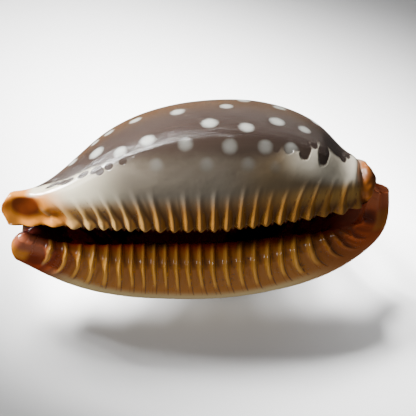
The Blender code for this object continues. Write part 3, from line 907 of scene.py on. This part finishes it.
# ---------------------------------------------------------------------------------------
# Light.  The shell is lit from behind and to the left by a strong soft key, with a broad
# box behind that draws the pale band along its back; a pool of light lies on the floor.
# ---------------------------------------------------------------------------------------
lit_shell = bpy.data.collections.new("lit_shell")
lit_shell.objects.link(shell)
lit_floor = bpy.data.collections.new("lit_floor")
lit_floor.objects.link(floor)


def hang(name, light, direction, target, distance, receivers):
    """Hangs a lamp some way off in a direction, aimed at a target; it lights its receivers."""
    lamp = bpy.data.objects.new(name, light)
    away = Vector(direction).normalized()
    lamp.location = Vector(target) + away * distance
    lamp.rotation_mode = "QUATERNION"
    lamp.rotation_quaternion = away.to_track_quat("Z", "Y")
    lamp.light_linking.receiver_collection = receivers
    bpy.context.scene.collection.objects.link(lamp)
    return lamp


def softbox(name, direction, distance, width, height, watts, colour=(1.0, 1.0, 1.0)):
    """A rectangular soft light of a given size, aimed at the shell."""
    light = bpy.data.lights.new(name, "AREA")
    light.shape = "RECTANGLE"
    light.size = width
    light.size_y = height
    light.energy = watts
    light.color = colour
    return hang(name, light, direction, (0.0, 0.0, 0.007), distance, lit_shell)


# A broad box and a thin strip behind draw the pale bands along the back.
back_box = softbox("back_box", (-0.25, 0.82, 0.49), 0.35, 0.70, 0.567, 0.42, (1.0, 0.94, 0.90))
back_box.light_linking.blocker_collection = lit_shell
rim_strip = softbox("rim_strip", (0.0, 1.0, -0.13), 0.35, 0.45, 0.010, 0.18, (1.0, 0.88, 0.78))
rim_strip.light_linking.blocker_collection = lit_shell
# The key, a glint at its side, and the light that the floor throws back up.
softbox("key", (-0.66, 0.30, 0.69), 0.35, 0.08, 0.08, 3.9)
softbox("side_glint", (-0.76, -0.16, 0.63), 0.35, 0.06, 0.12, 0.35)
bounce = softbox("floor_bounce", (0.0, -0.75, -0.60), 0.30, 0.30, 0.22, 0.45)
bounce.light_linking.blocker_collection = lit_shell
bounce.visible_glossy = False


def spotlight(name, direction, target, distance, radius, softness, watts, lit=lit_floor):
    """A round pool of light, on the floor if not told otherwise, that fades out at its radius."""
    light = bpy.data.lights.new(name, "SPOT")
    light.energy = watts
    light.spot_size = 2.0 * math.atan(radius / distance)
    light.spot_blend = 1.0
    light.shadow_soft_size = softness
    return hang(name, light, direction, target, distance, lit)


# Faint lamps in six groups along the shell, each from a slightly different direction,
# make one soft-edged pool of light on the floor, with the shell's soft shadow in it.
# Two uneven strides spread the directions evenly.
POOL_LAMPS = 36
POOL_GROUPS = 6
ASIDE_STRIDE = 0.755
ABACK_STRIDE = 0.570
for step in range(POOL_LAMPS):
    share = (step % POOL_GROUPS) / ((POOL_GROUPS - 1) / 2.0) - 1.0
    centre = ((0.5 + 14.0 * share) * MM, (4.9 - 5.8 * share) * MM, 0.0)
    aside = -0.38 + 0.80 * (step * ASIDE_STRIDE % 1.0 - 0.5)
    aback = 0.565 - 0.06 * share + 0.28 * (step * ABACK_STRIDE % 1.0 - 0.5)
    spotlight("floor_pool", (aside, aback, 0.78), centre, 0.25, 17.2 * MM, 0.009, 1.85)

# Small lamps that only the floor shades lift the shadow close under the shell's near side.
# They are wider and stronger towards both ends, but for the first, which is dimmed.
UNDER_LAMPS = 8
for step in range(UNDER_LAMPS):
    along_x = -9.0 + 2.9 * step
    under = (along_x * MM, (-4.6 + 0.018 * (along_x - 2.0) ** 2) * MM, 0.0)
    watts = 0.16 - 0.0042 * min(along_x - 2.5, 0.0) ** 3 + 0.028 * max(along_x - 2.5, 0.0) ** 2
    watts *= 0.45 if step == 0 else 1.0
    reach = (2.1 + 0.018 * (along_x - 2.0) ** 2) * MM
    lamp = spotlight("under_glow", (0.0, -0.5, 0.85), under, 0.12, reach, 0.001, watts)
    lamp.light_linking.blocker_collection = lit_floor

# One lamp brings out the front shoulder, and one lifts the end of the shadow at the right.
shoulder = (-9.0 * MM, -0.5 * MM, 9.0 * MM)
spotlight("left_shine", (-0.50, 0.45, 0.74), shoulder, 0.12, 6.5 * MM, 0.012, 5.5, lit_shell)
shadow_end = (18.0 * MM, -7.0 * MM, 0.0)
lamp = spotlight("right_glow", (0.4, 0.0, 0.9), shadow_end, 0.20, 11.0 * MM, 0.004, 0.55)
lamp.light_linking.blocker_collection = lit_floor

# A weak light from above fills the shadow, and the room adds a little from all round.
fill = bpy.data.lights.new("floor_fill", "AREA")
fill.size = 0.4
fill.energy = 0.42
hang("floor_fill", fill, (0.0, -0.3, 0.9), (0.0, 0.0, 0.0), 0.40, lit_floor)
world = bpy.data.worlds.new("studio")
world.use_nodes = True
world.node_tree.nodes["Background"].inputs["Color"].default_value = (1.0, 1.0, 1.0, 1.0)
world.node_tree.nodes["Background"].inputs["Strength"].default_value = 0.10
bpy.context.scene.world = world

# ---------------------------------------------------------------------------------------
# Camera.  A long lens looking down on the mouth side.
# ---------------------------------------------------------------------------------------
camera_data = bpy.data.cameras.new("camera")
camera_data.lens = 180.0
camera_data.sensor_width = 36.0
camera_data.clip_start = 0.01
camera = bpy.data.objects.new("camera", camera_data)
VIEW_MIDDLE = Vector((0.8070, -3.3871, 8.7723)) * MM
VIEW_WIDTH = 28.95 * MM
TOWARDS_CAMERA = Vector((0.0195, -0.6046, 0.7963)).normalized()
UP_IN_VIEW = Vector((0.0148, 0.7965, 0.6044)).normalized()
right = UP_IN_VIEW.cross(TOWARDS_CAMERA)
facing = Matrix((right, UP_IN_VIEW, TOWARDS_CAMERA)).transposed()
distance = VIEW_WIDTH * camera_data.lens / camera_data.sensor_width
standing = Matrix.Translation(VIEW_MIDDLE + TOWARDS_CAMERA * distance)
camera.matrix_world = standing @ facing.to_4x4()
bpy.context.scene.collection.objects.link(camera)
bpy.context.scene.camera = camera
